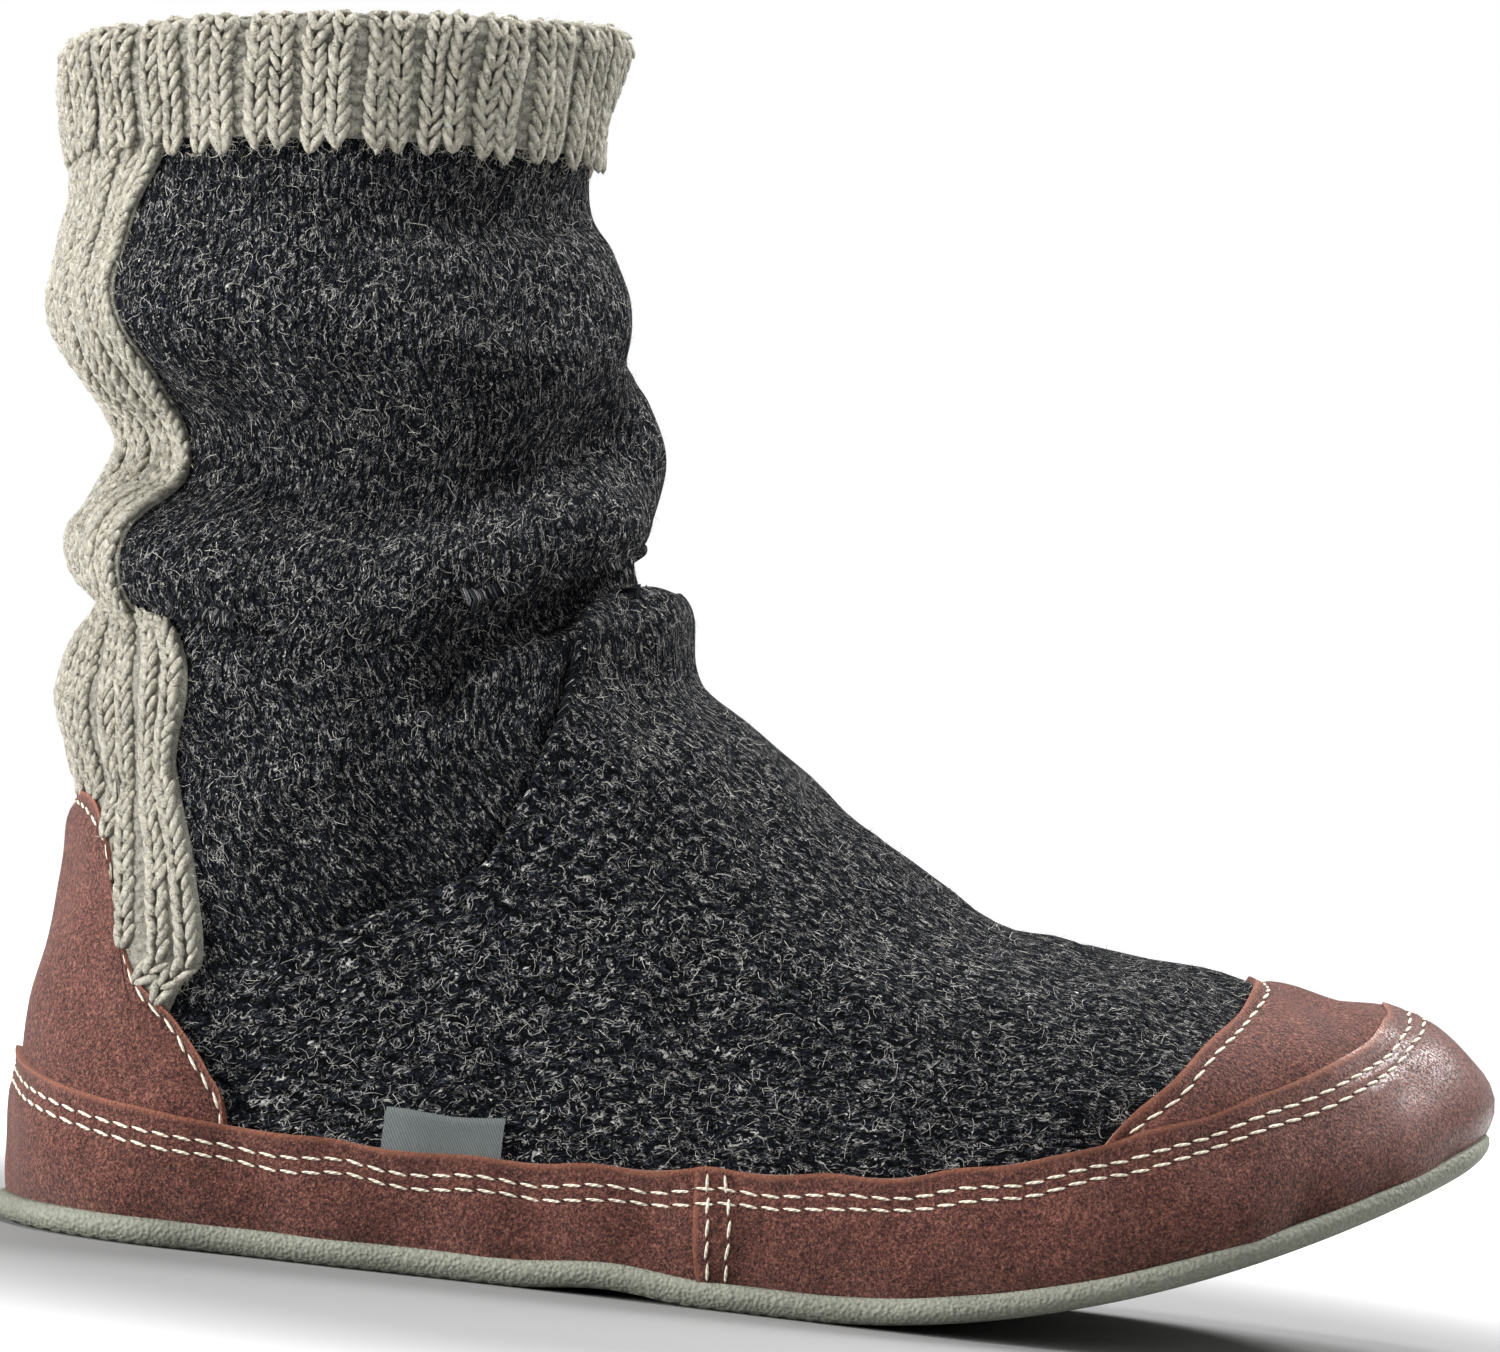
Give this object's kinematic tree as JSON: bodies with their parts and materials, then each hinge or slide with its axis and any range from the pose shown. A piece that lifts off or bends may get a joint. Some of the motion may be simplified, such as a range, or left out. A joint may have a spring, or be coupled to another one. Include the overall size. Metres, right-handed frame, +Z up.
{
  "type": "slipper boot",
  "caption": "Knitted slipper boot with a slouched shaft, ribbed cuff and back panel, suede foxing, toe cap and heel counter, and a thin rubber sole.",
  "frame": {"origin": "on the floor under the middle of the heel, at the centre of the heel's flat spot", "axes": "+X to the toe, +Y to the inner side, +Z up"},
  "size_m": [0.2953, 0.1084, 0.2378],
  "materials": {
    "outsole": "matt grey-green rubber, finely pebbled",
    "insole": "felted grey-brown footbed",
    "knit": "charcoal ragg wool, stocking stitch, fuzzy",
    "rib": "oatmeal ragg wool, two by one rib",
    "suede": "red-brown brushed suede with a short nap",
    "tab": "grey woven tape"
  },
  "bodies": {
    "root": {"outsole": "outsole", "insole": "insole", "upper": "knit", "foxing_rear": "suede", "foxing_front": "suede", "toe_cap": "suede", "heel_counter": "suede", "back_panel": "rib", "cuff": "rib", "side_tab": "tab"}
  },
  "joints": []
}
